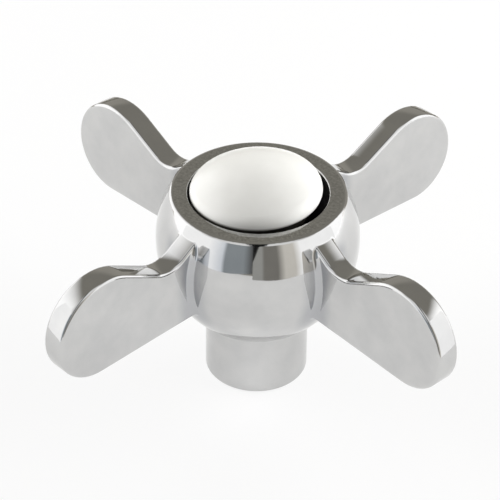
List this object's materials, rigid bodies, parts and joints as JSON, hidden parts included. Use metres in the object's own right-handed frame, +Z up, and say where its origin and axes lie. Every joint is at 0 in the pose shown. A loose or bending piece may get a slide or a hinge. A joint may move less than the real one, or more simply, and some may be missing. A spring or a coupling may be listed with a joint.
{
  "type": "replacement tap handle",
  "caption": "Chrome cross handle for a tap, with flat rounded wings on a round hub, a blank domed white button and a splined socket for the valve stem.",
  "frame": {"origin": "middle of the neck's bottom face, on the turning axis", "axes": "+Z up along the turning axis, away from the valve; the wings point along +X, +Y, -X and -Y"},
  "size_m": [0.076, 0.076, 0.0356],
  "materials": {
    "chrome_plate": "polished",
    "white_glaze": "glossy",
    "black_rubber": "matte",
    "screw_steel": "satin"
  },
  "bodies": {
    "root": {"handle_body": "chrome_plate", "index_button": "white_glaze", "button_o_ring": "black_rubber", "fixing_screw": "screw_steel"}
  },
  "joints": []
}
